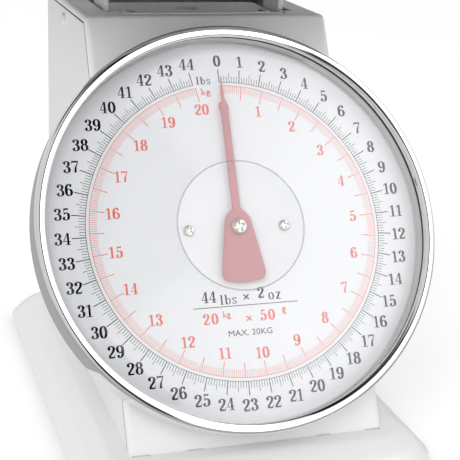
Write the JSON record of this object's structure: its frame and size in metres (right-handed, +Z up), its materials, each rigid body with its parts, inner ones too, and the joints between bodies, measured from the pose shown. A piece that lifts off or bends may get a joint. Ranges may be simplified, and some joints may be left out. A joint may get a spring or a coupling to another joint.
{
  "type": "mechanical dial platform scale",
  "caption": "Mechanical dial scale: sloping steel housing on a plinth, large round dial under a clear lens in a bright bezel, and a square load platform above.",
  "frame": {"origin": "on the ground plane under the middle of the overall box", "axes": "+Z up, the dial faces -Y and leans back towards +Y, +X is to the right of someone reading the dial"},
  "size_m": [0.23, 0.326, 0.27],
  "materials": {
    "white_steel": "gloss white powder coat",
    "zinc_steel": "bright zinc plate",
    "galvanised": "galvanised sheet",
    "stainless": "brushed stainless",
    "chrome": "polished",
    "dial_print": "printed white enamel",
    "lens_clear": "clear moulded",
    "pointer_red": "satin red paint",
    "brass": "machined",
    "rubber": "matt"
  },
  "bodies": {
    "stand": {"base_shell": "white_steel", "base_plate": "galvanised", "base_posts": "zinc_steel", "base_plate_screws": "zinc_steel", "rubber_feet": "rubber", "housing_wrap": "white_steel", "side_panel_left": "white_steel", "side_panel_right": "white_steel", "side_panel_screws": "white_steel", "dial_pan": "white_steel", "dial_face": "dial_print", "dial_screws": "zinc_steel", "bezel": "chrome", "lens_gasket": "rubber", "lens": "lens_clear", "rack_guide": "brass", "movement_front_plate": "galvanised", "movement_rear_plate": "galvanised", "movement_posts": "zinc_steel", "spindle_bushes": "brass", "main_frame": "galvanised", "frame_screws": "zinc_steel", "frame_nuts": "zinc_steel", "frame_shafts": "zinc_steel", "shaft_clips": "zinc_steel", "spring_left": "zinc_steel", "spring_right": "zinc_steel"},
    "load": {"load_frame": "galvanised", "load_tray": "galvanised", "tray_screws": "zinc_steel", "driver_arm": "galvanised", "driver_screws": "zinc_steel", "load_shafts": "zinc_steel", "platform_spider": "galvanised", "spider_bolts": "zinc_steel", "spider_nuts": "zinc_steel", "platform_pads": "rubber"},
    "platform_pan": {"platform": "stainless"},
    "rack_bar": {"rack": "brass", "rack_pin": "zinc_steel"},
    "pointer_set": {"pointer": "pointer_red", "pointer_screw": "zinc_steel", "spindle": "zinc_steel", "pinion": "brass"},
    "upper_link_arm": {"upper_link": "galvanised"},
    "lower_link_arm": {"lower_link": "galvanised"},
    "hanger": {"spring_hanger": "galvanised"},
    "zero_adjuster": {"zero_screw": "brass"}
  },
  "joints": [
    {"name": "load_slide", "type": "slide", "parent": "stand", "child": "load", "axis": [0, 0, -1], "range_m": [0, 0.0186], "stiffness_N_per_m": 10548, "springref_m": -0.004, "deforming": ["spring_left", "spring_right"]},
    {"name": "rack_slide", "type": "slide", "parent": "stand", "child": "rack_bar", "axis": [0, -0.5, -0.866], "range_m": [0, 0.02148]},
    {"name": "pointer_turn", "type": "hinge", "parent": "stand", "child": "pointer_set", "pos_m": [0, -0.079, 0.124], "axis": [0, 0.866, -0.5], "range_deg": [0, 351.6]},
    {"name": "upper_link_swing", "type": "hinge", "parent": "stand", "child": "upper_link_arm", "pos_m": [0, 0.088, 0.176], "axis": [1, 0, 0], "range_deg": [0, 15.59]},
    {"name": "lower_link_swing", "type": "hinge", "parent": "stand", "child": "lower_link_arm", "pos_m": [0, 0.088, 0.0507], "axis": [1, 0, 0], "range_deg": [0, 15.59]},
    {"name": "zero_turn", "type": "hinge", "parent": "stand", "child": "zero_adjuster", "pos_m": [0, 0.036, 0.196], "axis": [0, 0, 1], "range_deg": [-360.05, 360.05]},
    {"name": "hanger_slide", "type": "slide", "parent": "stand", "child": "hanger", "axis": [0, 0, 1], "range_m": [-0.001, 0.001]},
    {"name": "platform_lift", "type": "slide", "parent": "load", "child": "platform_pan", "axis": [0, 0, 1], "range_m": [0, 0.04]}
  ],
  "couplings": [
    {"joint": "rack_slide", "follows": "load_slide", "ratio": 1.1547},
    {"joint": "pointer_turn", "follows": "load_slide", "rad_per_m": 329.91},
    {"joint": "upper_link_swing", "follows": "load_slide", "rad_per_m": 14.615},
    {"joint": "lower_link_swing", "follows": "load_slide", "rad_per_m": 14.615},
    {"joint": "zero_turn", "follows": "hanger_slide", "rad_per_m": 6283.2}
  ]
}
